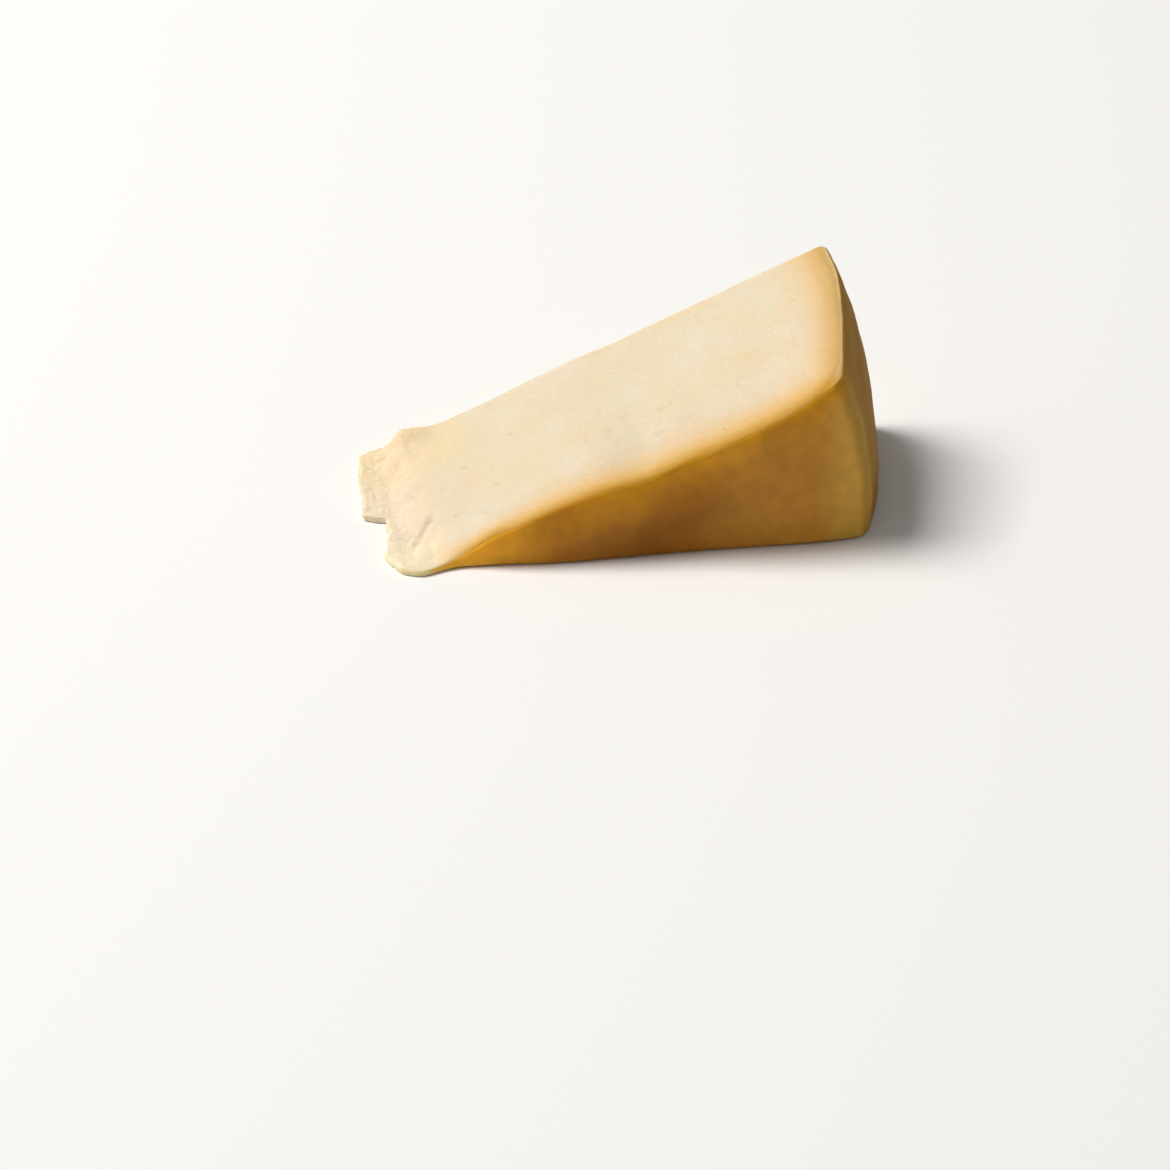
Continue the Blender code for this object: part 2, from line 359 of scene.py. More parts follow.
span_x = rim_distance(wheel_y, w) - tip_distance(wheel_y)
softness = EDGE_SOFTNESS + (BACK_EDGE_SOFTNESS - EDGE_SOFTNESS) * ease(v, *EDGE_CHANGE)
softness = softness * (1.0 + EDGE_VARIETY * swell(points, EDGE_VARIETY_LENGTH, seed=3))
softness = np.minimum(softness, EDGE_MOST * height)
points = soft_edges(points, block, (span_x, HALF_HEIGHT, height), softness)

# The crumb of the paste. Aged paste is granular: the knife leaves it finely grained with a few pores and
# torn spots, and where it breaks, at the tip, it comes apart between rounded crumbs of 1 to 5 mm.
TORN_START = -0.0020
TORN_END = 0.0240
TORN_WAVER = 0.008
TORN_WAVER_LENGTH = 0.018
TORN_LUMP = 0.4
TORN_LUMP_REACH = 0.011
TORN_LUMP_BACK = (0.86, 0.97)
RIND_THICKNESS = 0.004
PATCH_LENGTH = 0.030
PATCH_RANGE = (0.35, 0.95)
TORN_CRUMBS = ((0.0064, 0.00060), (0.0031, 0.00036), (0.0017, 0.00016))
CRUMB_LIFT = 0.9
CRUMB_LEVEL = 0.7
CREVICE_RANGE = (-0.62, -0.25)
CUT_CRUMBS = ((0.0042, 0.00010), (0.0021, 0.00006))
CUT_CRUMBS_LEAST = 0.35
CUT_SWELL = ((0.024, 0.00016), (0.0095, 0.00006))
RIND_SWELL = ((0.019, 0.00020), (0.0070, 0.00007))
RESTING_SHARE = 0.04

# Small dents in the upper cut face, where crumbs came away, darkened with painted shade: X and Y in the
# wheel, reach and depth.
DENTS = (
    (0.0202, 0.0309, 0.0019, 0.0005),
    (0.0128, 0.0187, 0.0018, 0.0003),
    (0.0069, 0.0127, 0.0015, 0.0004),
    (0.0499, 0.0374, 0.0015, 0.0006),
    (0.0460, 0.0597, 0.0022, 0.0002),
    (0.0679, 0.0163, 0.0013, 0.0003),
    (0.0844, 0.0230, 0.0013, 0.0003),
    (0.0880, 0.0426, 0.0014, 0.0004),
    (0.0977, 0.0409, 0.0022, 0.0003),
    (0.1057, 0.0467, 0.0020, 0.0003),
    (0.0994, 0.0305, 0.0022, 0.0002),
    (0.1178, 0.0271, 0.0020, 0.0005),
    (0.1296, 0.0283, 0.0028, 0.0003),
    (0.1213, 0.0415, 0.0015, 0.0004),
    (0.1238, 0.0423, 0.0015, 0.0004),
    (0.1259, 0.0434, 0.0013, 0.0003),
    (0.1118, 0.0111, 0.0019, 0.0005),
    (0.1261, 0.0125, 0.0016, 0.0004),
)
DENT_RAGGEDNESS = 0.0005
DENT_RAG_LENGTH = 0.0035
DENT_DEPTH_SHARE = 0.8
DENT_SHADE_FROM = 0.0005

# What scatters the crumbs: any large numbers without a common measure.
SCATTER_MIX = np.array([[127.1, 269.5, 419.2], [311.7, 183.3, 371.9], [74.7, 246.1, 168.3]])
SCATTER_STRETCH = 43758.5453
LIFT_STRETCH = 7.0


def scatter(cell, seed):
    """Three numbers from 0 to 1 for each cell: the digits far behind the point of a sine of its numbers."""
    return (np.sin(cell @ SCATTER_MIX + seed) * SCATTER_STRETCH) % 1.0


def crumbs(points, size, seed):
    """Crumbs side by side, each with its seeded centre in a cube of that size. The first result is 1 at a
    centre, less the square of the distance from the nearest one, in cubes. The second is the nearest crumb's
    own lift, from -0.5 to 0.5, the same all over the crumb."""
    scaled = points / size
    cell = np.floor(scaled)
    nearest = np.full(len(points), np.inf)
    lift = np.zeros(len(points))
    for step in itertools.product((-1.0, 0.0, 1.0), repeat=3):
        corner = cell + np.array(step)
        place = scatter(corner, seed)
        away = ((scaled - corner - place) ** 2).sum(1)
        lift = np.where(away < nearest, (LIFT_STRETCH * place.sum(1)) % 1.0 - 0.5, lift)
        nearest = np.minimum(nearest, away)
    return 1.0 - nearest, lift


below_cut = (1.0 - w) * height
behind_rim = rim_distance(wheel_y, w) - wheel_x
under_rind = ease(np.minimum(wheel_y, behind_rim), 0.0, RIND_THICKNESS)
torn_x = wheel_x + TORN_WAVER * swell(points, TORN_WAVER_LENGTH, seed=8)
torn = (1.0 - ease(torn_x, TORN_START, TORN_END)) * under_rind
torn_lump = TORN_LUMP * hill(wheel_x, LUMP_PLACE, TORN_LUMP_REACH) * ease(v, *TORN_LUMP_BACK)
torn = np.maximum(torn, torn_lump)
patches = ease(swell(points, PATCH_LENGTH, seed=21), *PATCH_RANGE) * under_rind
grained = (CUT_CRUMBS_LEAST + (1.0 - CUT_CRUMBS_LEAST) * patches) * (1.0 - torn) * under_rind
relief = np.zeros(len(points))
# crevice: painted shade in the gaps between the torn crumbs.
crevice = np.zeros(len(points))
for number, (size, depth) in enumerate(TORN_CRUMBS):
    dome, lift = crumbs(points, size, seed=10.0 + number)
    relief += depth * torn * (dome - CRUMB_LEVEL + CRUMB_LIFT * lift)
    crevice += torn * ease(-dome, *CREVICE_RANGE) / len(TORN_CRUMBS)
for number, (size, depth) in enumerate(CUT_CRUMBS):
    dome, _ = crumbs(points, size, seed=20.0 + number)
    relief += depth * grained * (dome - CRUMB_LEVEL)
for number, (length, depth) in enumerate(CUT_SWELL):
    relief += depth * under_rind * swell(points, length, seed=30 + number)
for number, (length, depth) in enumerate(RIND_SWELL):
    relief += depth * (1.0 - under_rind) * swell(points, length, seed=40 + number)
# dented: how much painted shade each dent gets, full where it is 0.5 mm deep or more.
dented = np.zeros(len(points))
on_cut = w > 1.0 - 1e-6
ragged_x = wheel_x + DENT_RAGGEDNESS * swell(points, DENT_RAG_LENGTH, seed=50)
ragged_y = wheel_y + DENT_RAGGEDNESS * swell(points, DENT_RAG_LENGTH, seed=51)
for dent_x, dent_y, reach, depth in DENTS:
    share = hill(ragged_x, dent_x, reach) * hill(ragged_y, dent_y, DENT_DEPTH_SHARE * reach) * on_cut
    relief -= depth * share
    dented = np.maximum(dented, share * min(1.0, depth / DENT_SHADE_FROM))

# The lower cut rests flat on the floor, so the relief fades out towards it.
relief = relief * ease(w, 0.0, RESTING_SHARE)
all_faces = np.concatenate(list(sides.values()))
points += relief[:, None] * outward(points, all_faces)
points[:, 2] = np.maximum(points[:, 2], 0.0)

# How deep each point lies behind the rind, with the corner between the two rind sides rounded. The amber
# band under the flat face is narrow near the tip and widest at the rim.
RIND_CORNER = 0.014
RIND_DEPTH = 0.030
BAND_NEAREST = 0.001
BAND_PLACE = 0.120
BAND_POWER = 0.45
BAND_MOST = 1.6
BAND_LOSS = 0.010
BAND_LOSS_SPAN = (0.006, 0.030)

narrowing = np.minimum((BAND_PLACE / np.maximum(wheel_x, BAND_NEAREST)) ** BAND_POWER, BAND_MOST)
behind_front = wheel_y * narrowing
short_front = np.clip(RIND_CORNER - behind_front, 0.0, None)
short_rim = np.clip(RIND_CORNER - behind_rim, 0.0, None)
below_rind = np.where(
    (short_front > 0.0) | (short_rim > 0.0),
    RIND_CORNER - np.hypot(short_front, short_rim),
    np.minimum(behind_front, behind_rim),
)
below_rind = below_rind + BAND_LOSS * (1.0 - ease(wheel_x, *BAND_LOSS_SPAN))

# What else the two materials read at each point, as shares from 0 to 1. A span is where a share comes in
# or fades: along X in the wheel, behind the flat face, behind the rim or below the upper cut.
CUT_REACH = 0.030
LOWER_CUT_OFFSET = 0.012
BACK_CUT_OFFSET = 0.006
LOW_SHADE_PLACE = 0.105
LOW_SHADE_REACH = 0.042
LOW_SHADE_BELOW_CUT = (0.008, 0.030)
LOW_SHADE_BEHIND_FACE = (0.0, 0.02)
BOUNCE_LIGHT_SPANS = ((0.25, (0.125, 0.155)), (0.75, (0.180, 0.197)))
BOUNCE_LIGHT_BEHIND_FACE = (0.004, 0.018)
BOUNCE_LIGHT_BELOW_CUT = (0.001, 0.012)
RIM_SIDE_SPAN = (-0.005, 0.007)
RIM_EDGE_SPAN = (0.0045, 0.0005)
RIM_EDGE_LEAST = 0.65
RIM_EDGE_BEHIND_FACE = (0.004, 0.016)
NEAR_TIP_SPAN = (0.020, 0.075)
CRUMBLED_SPAN = (0.004, 0.030)
FOOT_SPAN = (0.014, 0.034)
FOOT_BEHIND_FACE = (0.010, 0.028)
BARED_SPAN = (0.011, 0.025)
BARED_RAGGEDNESS = 0.002
BARED_RAG_LENGTH = 0.006
STRAW_SPAN = (0.020, 0.055)
STRAW_BEHIND_FACE = (0.050, 0.080)
EDGE_SHADE_SPAN = (0.150, 0.182)
EDGE_SHADE_BEHIND_FACE = (0.0005, 0.0045)
EDGE_SHADE_BEHIND_RIM = (0.004, 0.012)

from_cut = np.minimum(below_cut, LOWER_CUT_OFFSET + w * height)
from_cut = np.minimum(from_cut, BACK_CUT_OFFSET + (1.0 - v) * HALF_HEIGHT)
# Painted shade: the rind darker low on the flat face, below its middle.
painted_low_shade = hill(wheel_x, LOW_SHADE_PLACE, LOW_SHADE_REACH)
painted_low_shade = painted_low_shade * ease(below_cut, *LOW_SHADE_BELOW_CUT) * (1.0 - ease(wheel_y, *LOW_SHADE_BEHIND_FACE))
# Painted light on the rind's flat face: lighter below its top edge, more so towards the rim.
painted_bounce_light = sum(share * ease(wheel_x, *span) for share, span in BOUNCE_LIGHT_SPANS)
painted_bounce_light = painted_bounce_light * (1.0 - ease(wheel_y, *BOUNCE_LIGHT_BEHIND_FACE)) * ease(below_cut, *BOUNCE_LIGHT_BELOW_CUT)
rim_edge = RIM_EDGE_LEAST + (1.0 - RIM_EDGE_LEAST) * ease(wheel_y, *RIM_EDGE_BEHIND_FACE)
bared_x = wheel_x + BARED_RAGGEDNESS * swell(points, BARED_RAG_LENGTH, seed=60)
# Painted shade: the cut darker and olive along its front edge, near the rim but not on it.
painted_edge_shade = ease(wheel_x, *EDGE_SHADE_SPAN) * (1.0 - ease(wheel_y, *EDGE_SHADE_BEHIND_FACE))
painted_edge_shade = painted_edge_shade * ease(behind_rim, *EDGE_SHADE_BEHIND_RIM)

wedge_mesh = bpy.data.meshes.new("parmesan_wedge")
wedge_mesh.from_pydata(points.tolist(), [], all_faces.tolist())
features = {
    "rind_depth": np.clip(below_rind / RIND_DEPTH, 0.0, 1.0),
    "rim_side": ease(behind_front - behind_rim, *RIM_SIDE_SPAN),
    "from_cut": np.clip(from_cut / CUT_REACH, 0.0, 1.0),
    "painted_low_shade": painted_low_shade,
    "dented": dented,
    "torn": np.clip(torn, 0.0, 1.0),
    "crevice": np.clip(crevice, 0.0, 1.0),
    "towards_rim": ease(behind_rim, *RIM_EDGE_SPAN) * rim_edge,
    "near_tip": 1.0 - ease(wheel_x, *NEAR_TIP_SPAN),
    "crumbled": 1.0 - ease(wheel_x, *CRUMBLED_SPAN),
    "on_foot": (1.0 - ease(wheel_y, *FOOT_BEHIND_FACE)) * (1.0 - ease(wheel_x, *FOOT_SPAN)),
    "bared": 1.0 - ease(bared_x, *BARED_SPAN),
    "strawed": (1.0 - ease(wheel_x, *STRAW_SPAN)) * ease(wheel_y, *STRAW_BEHIND_FACE),
    "painted_edge_shade": painted_edge_shade,
    "painted_bounce_light": painted_bounce_light,
}
for name, values in features.items():
    feature = wedge_mesh.attributes.new(name, "FLOAT", "POINT")
    feature.data.foreach_set("value", values.astype(np.float32))
rind_sides = ((1, 0), (0, -1))
is_rind = np.concatenate([np.full(len(faces), side in rind_sides) for side, faces in sides.items()])
wedge_mesh.polygons.foreach_set("material_index", is_rind.astype(np.int32))
wedge_mesh.shade_smooth()
wedge_mesh.update()
wedge = bpy.data.objects.new("parmesan_wedge", wedge_mesh)
bpy.context.collection.objects.link(wedge)
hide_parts("cheese_wedge")
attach(wedge, "root")

# Cut parmesan paste: dry, fat and slightly translucent, so that light sinks in a few millimetres. Ivory in
# the middle, it turns straw and then amber in the last 20 mm under the rind. Matt, with a fine grain.
UNDER_FLAT_FACE = (
    (0.000, "#CE981E"),
    (0.033, "#CC941E"),
    (0.067, "#CE982B"),
    (0.100, "#D39F3E"),
    (0.167, "#DFB15A"),
    (0.267, "#EBC079"),
    (0.400, "#EECA95"),
    (0.500, "#EFD0A2"),
    (0.667, "#ECD6B2"),
    (1.000, "#ECDCBE"),
)
UNDER_RIM = (
    (0.000, "#CDA970"),
    (0.033, "#DBB983"),
    (0.067, "#CDA662"),
    (0.100, "#D4AD67"),
    (0.167, "#DFB873"),
    (0.267, "#E7C083"),
    (0.400, "#EDCC9B"),
    (0.500, "#EFD3A9"),
    (0.667, "#EDD9B8"),
    (1.000, "#ECDCBE"),
)
PASTE_STRAW = "#EFD6A6"
PASTE_PALE = "#EFE3D0"
PASTE_TIP = "#F9E1C6"
# Paler paste at the foot, partly a painted highlight.
PASTE_FOOT_HIGHLIGHT = "#FFEAC6"
PASTE_CREVICE_SHADE = "#E6C796"
PASTE_EDGE_SHADE = "#A87716"
PASTE_DENT_SHADE = "#DCC7A0"
PORE_SHADE_COLOUR = "#B99563"
CRYSTAL_COLOUR = "#FAF3E4"

# How much of each of these colours at most, by the feature that says where.
PASTE_TINTS_AND_PAINTED_LIGHT = (
    ("crumbled", 0.8, PASTE_TIP),
    ("on_foot", 0.8, PASTE_FOOT_HIGHLIGHT),
    ("strawed", 0.5, PASTE_STRAW),
    ("painted_edge_shade", 0.4, PASTE_EDGE_SHADE),
)
PAINTED_PIT_SHADE = (("crevice", 0.3, PASTE_CREVICE_SHADE), ("dented", 0.6, PASTE_DENT_SHADE))
BAND_WAVER = 0.055
BAND_WAVER_LENGTH = 0.011
BAND_WAVER_START = 0.12
PATCH_SIZE = 0.024
GRAIN_SIZE = 0.0016
GRAIN_HEIGHT = 0.11
FINE_GRAIN_SIZE = 0.0006
FINE_GRAIN_HEIGHT = 0.08
TONE_SIZE = 0.0022
PORE_SPACING = 0.0095
PORE_RADIUS = 0.0007
PORE_SHARE = 0.26
PORE_RAGGEDNESS = 0.0010
PORE_RAG_SIZE = 0.0011
PORE_SHADE_SHARE = 0.2
PORE_DEPTH = 0.22
CRYSTAL_SPACING = 0.0044
CRYSTAL_RADIUS = 0.0006
CRYSTAL_SHARE = 0.4
CRYSTAL_TINT = 0.32


def linear(colour):
    """Turns an sRGB hex colour to linear RGBA: a straight foot, then the power 2.4 curve."""
    shares = [int(colour[start:start + 2], 16) / 255.0 for start in (1, 3, 5)]
    return (*[s / 12.92 if s <= 0.04045 else ((s + 0.055) / 1.055) ** 2.4 for s in shares], 1.0)


def add(tree, kind, inputs=None, stops=None, **settings):
    """Adds a node, with its settings, its inputs, each linked or set, and the colour stops of a ramp."""
    node = tree.nodes.new("ShaderNode" + kind)
    for name, value in settings.items():
        setattr(node, name, value)
    for name, value in (inputs or {}).items():
        if isinstance(value, bpy.types.NodeSocket):
            tree.links.new(value, node.inputs[name])
        else:
            node.inputs[name].default_value = value
    for number, (place, colour) in enumerate(stops or ()):
        ramp = node.color_ramp.elements
        stop = ramp[number] if number < len(ramp) else ramp.new(place)
        stop.position = place
        stop.color = linear(colour)
    return node


def finish(name):
    """A new material with its node tree, its shader and its Object coordinates."""
    material = bpy.data.materials.new(name)
    material.use_nodes = True
    tree = material.node_tree
    place = add(tree, "TexCoord").outputs["Object"]
    return material, tree, tree.nodes["Principled BSDF"], place


paste, tree, shader, place = finish("cut_parmesan_paste")
rind_depth = add(tree, "Attribute", attribute_name="rind_depth").outputs["Fac"]
torn_share = add(tree, "Attribute", attribute_name="torn").outputs["Fac"]

# The amber band's edge wavers by a millimetre or two, except right under the rind.
waver = add(tree, "TexNoise", {"Vector": place, "Scale": 1.0 / BAND_WAVER_LENGTH, "Detail": 3.0})
waver = add(
    tree, "MapRange", {"Value": waver.outputs["Fac"], "To Min": -BAND_WAVER, "To Max": BAND_WAVER}
).outputs["Result"]
deeper = add(tree, "MapRange", {"Value": rind_depth, "From Max": BAND_WAVER_START}).outputs["Result"]
waver = add(tree, "Math", {0: waver, 1: deeper}, operation="MULTIPLY").outputs[0]
wavering = add(tree, "Math", {0: rind_depth, 1: waver}, operation="ADD", use_clamp=True).outputs[0]
rim_side = add(tree, "Attribute", attribute_name="rim_side").outputs["Fac"]
flat_side = add(tree, "ValToRGB", {"Fac": wavering}, UNDER_FLAT_FACE).outputs["Color"]
round_side = add(tree, "ValToRGB", {"Fac": wavering}, UNDER_RIM).outputs["Color"]
by_depth = add(tree, "Mix", {0: rim_side, 6: flat_side, 7: round_side}, data_type="RGBA").outputs[2]

# Slow patches of straw and of paler paste, 15 to 30 mm across.
inside = add(tree, "MapRange", {"Value": rind_depth, "From Min": 0.25, "From Max": 0.8}).outputs["Result"]
patch = add(tree, "TexNoise", {"Vector": place, "Scale": 1.0 / PATCH_SIZE, "Detail": 2.5}).outputs["Fac"]
straw = add(tree, "MapRange", {"Value": patch, "From Min": 0.50, "From Max": 0.72, "To Max": 0.5})
straw = add(tree, "Math", {0: straw.outputs["Result"], 1: inside}, operation="MULTIPLY").outputs[0]
mixed = add(tree, "Mix", {0: straw, 6: by_depth, 7: linear(PASTE_STRAW)}, data_type="RGBA").outputs[2]
pale = add(tree, "MapRange", {"Value": patch, "From Min": 0.50, "From Max": 0.30, "To Max": 0.5})
pale = add(tree, "Math", {0: pale.outputs["Result"], 1: inside}, operation="MULTIPLY").outputs[0]
mixed = add(tree, "Mix", {0: pale, 6: mixed, 7: linear(PASTE_PALE)}, data_type="RGBA").outputs[2]

# Spots of about 2 mm, each a shade lighter or darker than the next.
tone = add(tree, "TexNoise", {"Vector": place, "Scale": 1.0 / TONE_SIZE, "Detail": 4.0}).outputs["Fac"]
tone = add(
    tree, "MapRange", {"Value": tone, "From Min": 0.3, "From Max": 0.7, "To Min": 0.905, "To Max": 0.955}
).outputs["Result"]
mixed = add(
    tree, "Mix", {0: 1.0, 6: mixed, 7: tone}, data_type="RGBA", blend_type="MULTIPLY"
).outputs[2]

# Where it crumbled, at the tip and its foot, the fresh paste is paler than the cut face, which has dried
# for a while; at the foot the paler colour is partly a painted highlight. Behind the tip the cut has a straw
# patch, and painted shade darkens the band's edge to olive where it nears the rim.
for name, most, colour in PASTE_TINTS_AND_PAINTED_LIGHT:
    share = add(tree, "Attribute", attribute_name=name).outputs["Fac"]
    share = add(tree, "Math", {0: share, 1: most}, operation="MULTIPLY").outputs[0]
    mixed = add(tree, "Mix", {0: share, 6: mixed, 7: linear(colour)}, data_type="RGBA").outputs[2]

# Ragged pores about 1.4 mm across, in one cube of 9.5 mm out of four, and the white specks of ripe cheese.
ragged = add(tree, "TexNoise", {"Vector": place, "Scale": 1.0 / PORE_RAG_SIZE}).outputs["Color"]
ragged = add(
    tree, "VectorMath", {0: ragged, 1: (PORE_RAGGEDNESS,) * 3, 2: place}, operation="MULTIPLY_ADD"
).outputs[0]
pore = add(tree, "TexVoronoi", {"Vector": ragged, "Scale": 1.0 / PORE_SPACING})
pore_size = PORE_RADIUS / PORE_SPACING
pore_here = add(tree, "SeparateColor", {0: pore.outputs["Color"]}).outputs[0]
pore_here = add(tree, "Math", {0: pore_here, 1: 1.0 - PORE_SHARE}, operation="GREATER_THAN").outputs[0]
pore_in = add(
    tree,
    "MapRange",
    {"Value": pore.outputs["Distance"], "From Min": 2.0 * pore_size, "From Max": 0.5 * pore_size},
    interpolation_type="SMOOTHSTEP",
).outputs["Result"]
pore_in = add(tree, "Math", {0: pore_in, 1: pore_here}, operation="MULTIPLY").outputs[0]
crystal = add(tree, "TexVoronoi", {"Vector": place, "Scale": 1.0 / CRYSTAL_SPACING})
crystal_size = CRYSTAL_RADIUS / CRYSTAL_SPACING
crystal_here = add(tree, "SeparateColor", {0: crystal.outputs["Color"]}).outputs[1]
crystal_here = add(
    tree, "Math", {0: crystal_here, 1: 1.0 - CRYSTAL_SHARE}, operation="GREATER_THAN"
).outputs[0]
crystal_in = add(
    tree,
    "MapRange",
    {
        "Value": crystal.outputs["Distance"],
        "From Min": 1.4 * crystal_size,
        "From Max": 0.7 * crystal_size,
        "To Max": CRYSTAL_TINT,
    },
    interpolation_type="SMOOTHSTEP",
).outputs["Result"]
crystal_in = add(tree, "Math", {0: crystal_in, 1: crystal_here}, operation="MULTIPLY").outputs[0]
crystal_in = add(tree, "Math", {0: crystal_in, 1: inside}, operation="MULTIPLY").outputs[0]
mixed = add(tree, "Mix", {0: crystal_in, 6: mixed, 7: linear(CRYSTAL_COLOUR)}, data_type="RGBA").outputs[2]
# Painted shade: each pore a little darker inside.
pore_shade = add(tree, "Math", {0: pore_in, 1: PORE_SHADE_SHARE}, operation="MULTIPLY").outputs[0]
mixed = add(tree, "Mix", {0: pore_shade, 6: mixed, 7: linear(PORE_SHADE_COLOUR)}, data_type="RGBA").outputs[2]
# Painted shade in the crevices between the torn crumbs and in the dents.
for name, most, colour in PAINTED_PIT_SHADE:
    share = add(tree, "Attribute", attribute_name=name).outputs["Fac"]
    share = add(tree, "Math", {0: share, 1: most}, operation="MULTIPLY").outputs[0]
    mixed = add(tree, "Mix", {0: share, 6: mixed, 7: linear(colour)}, data_type="RGBA").outputs[2]

# Relief in millimetres: crumbs of about 1.6 mm, fine grain and pores, the first two deeper where the paste
# is torn.
grain = add(tree, "TexVoronoi", {"Vector": place, "Scale": 1.0 / GRAIN_SIZE}, feature="SMOOTH_F1")
rough = add(tree, "MapRange", {"Value": torn_share, "To Min": 1.0, "To Max": 1.6}).outputs["Result"]
crumb = add(tree, "MapRange", {"Value": grain.outputs["Distance"], "To Min": GRAIN_HEIGHT, "To Max": 0.0})
fine = add(tree, "TexNoise", {"Vector": place, "Scale": 1.0 / FINE_GRAIN_SIZE, "Detail": 3.0}).outputs["Fac"]
fine = add(tree, "MapRange", {"Value": fine, "To Max": FINE_GRAIN_HEIGHT}).outputs["Result"]
crumb = add(tree, "Math", {0: crumb.outputs["Result"], 1: fine}, operation="ADD").outputs[0]
crumb = add(tree, "Math", {0: crumb, 1: rough}, operation="MULTIPLY").outputs[0]
pit = add(tree, "Math", {0: pore_in, 1: -PORE_DEPTH}, operation="MULTIPLY").outputs[0]
surface = add(tree, "Math", {0: crumb, 1: pit}, operation="ADD").outputs[0]
bump = add(tree, "Bump", {"Strength": 1.0, "Distance": 0.001, "Height": surface}).outputs["Normal"]
gloss = add(tree, "MapRange", {"Value": torn_share, "To Min": 0.56, "To Max": 0.72}).outputs["Result"]
tree.links.new(mixed, shader.inputs["Base Color"])
tree.links.new(bump, shader.inputs["Normal"])
tree.links.new(gloss, shader.inputs["Roughness"])
shader.inputs["IOR"].default_value = 1.45
shader.inputs["Specular IOR Level"].default_value = 0.3
shader.inputs["Subsurface Weight"].default_value = 0.55
shader.inputs["Subsurface Radius"].default_value = (1.0, 0.60, 0.28)
shader.inputs["Subsurface Scale"].default_value = 0.0045
wedge_mesh.materials.append(paste)

# Brushed and oiled parmesan rind: paste dried hard over two years, amber to brown, with the faint print of
# the cloth it lay in. Smooth and a little greasy, and still translucent where the knife cut its edge thin.
# Lighter gold along the cut edges and browner further in: partly the thin cut rind's own colour, partly a
# painted glow of light through the thin edge.
RIND_FROM_CUT = (
    (0.00, "#CC981C"),
    (0.10, "#DA9E16"),
    (0.20, "#D8961E"),
    (0.40, "#CF8C20"),
    (0.67, "#CA8628"),
    (1.00, "#C5832E"),
)
RIND_BROWN = "#B07426"
RIND_HONEY = "#D89E34"
RIND_PAINTED_SHADE = "#8A5214"
RIND_PAINTED_LIGHT = "#DAAA4A"
# A painted glow: gold where the thin end of the rind lets light through.
TIP_PAINTED_GLOW = "#FFBC38"
TIP_CREAM = "#FFE2AE"
RIM_OLIVE = "#9A7230"

# How much of each of these colours at most, by the feature that says where.
RIND_TINTS = (
    ("painted_low_shade", 0.7, RIND_PAINTED_SHADE),
    ("painted_bounce_light", 1.0, RIND_PAINTED_LIGHT),
    ("near_tip", 0.95, TIP_PAINTED_GLOW),
    ("bared", 1.0, TIP_CREAM),
    ("towards_rim", 0.85, RIM_OLIVE),
)
BLOTCH_SIZE = 0.032
BLOTCH_WAVER = 0.12
FRECKLE_SIZE = 0.006
CLOTH_THREAD = 0.0016
CLOTH_WEAR_SIZE = 0.026
CLOTH_HEIGHT = 0.022
SMALL_DENT_SIZE = 0.0045
SMALL_DENT_HEIGHT = 0.28
RIM_DULLNESS = 0.28

rind, tree, shader, place = finish("oiled_parmesan_rind")
cut_near = add(tree, "Attribute", attribute_name="from_cut").outputs["Fac"]
rim_near = add(tree, "Attribute", attribute_name="towards_rim").outputs["Fac"]
blotch = add(tree, "TexNoise", {"Vector": place, "Scale": 1.0 / BLOTCH_SIZE, "Detail": 3.5}).outputs["Fac"]
waver = add(tree, "MapRange", {"Value": blotch, "To Min": -BLOTCH_WAVER, "To Max": BLOTCH_WAVER})
wavering = add(
    tree, "Math", {0: cut_near, 1: waver.outputs["Result"]}, operation="ADD", use_clamp=True
).outputs[0]
mixed = add(tree, "ValToRGB", {"Fac": wavering}, RIND_FROM_CUT).outputs["Color"]
browned = add(tree, "MapRange", {"Value": blotch, "From Min": 0.50, "From Max": 0.72, "To Max": 0.55})
mixed = add(
    tree, "Mix", {0: browned.outputs["Result"], 6: mixed, 7: linear(RIND_BROWN)}, data_type="RGBA"
).outputs[2]
honeyed = add(tree, "MapRange", {"Value": blotch, "From Min": 0.48, "From Max": 0.30, "To Max": 0.4})
mixed = add(
    tree, "Mix", {0: honeyed.outputs["Result"], 6: mixed, 7: linear(RIND_HONEY)}, data_type="RGBA"
).outputs[2]

# Painted shade low on the flat face, below its middle, and painted light on its lower part towards the rim.
# A painted glow of gold where the thin end lets light through, cream where the rind broke off at the tip,
# and olive along the rim's edge.
for name, most, colour in RIND_TINTS:
    share = add(tree, "Attribute", attribute_name=name).outputs["Fac"]
    share = add(tree, "Math", {0: share, 1: most}, operation="MULTIPLY").outputs[0]
    mixed = add(tree, "Mix", {0: share, 6: mixed, 7: linear(colour)}, data_type="RGBA").outputs[2]
freckle = add(tree, "TexNoise", {"Vector": place, "Scale": 1.0 / FRECKLE_SIZE, "Detail": 5.0}).outputs["Fac"]
freckle = add(
    tree, "MapRange", {"Value": freckle, "From Min": 0.3, "From Max": 0.7, "To Min": 0.90, "To Max": 1.06}
).outputs["Result"]
mixed = add(
    tree, "Mix", {0: 1.0, 6: mixed, 7: freckle}, data_type="RGBA", blend_type="MULTIPLY"
).outputs[2]

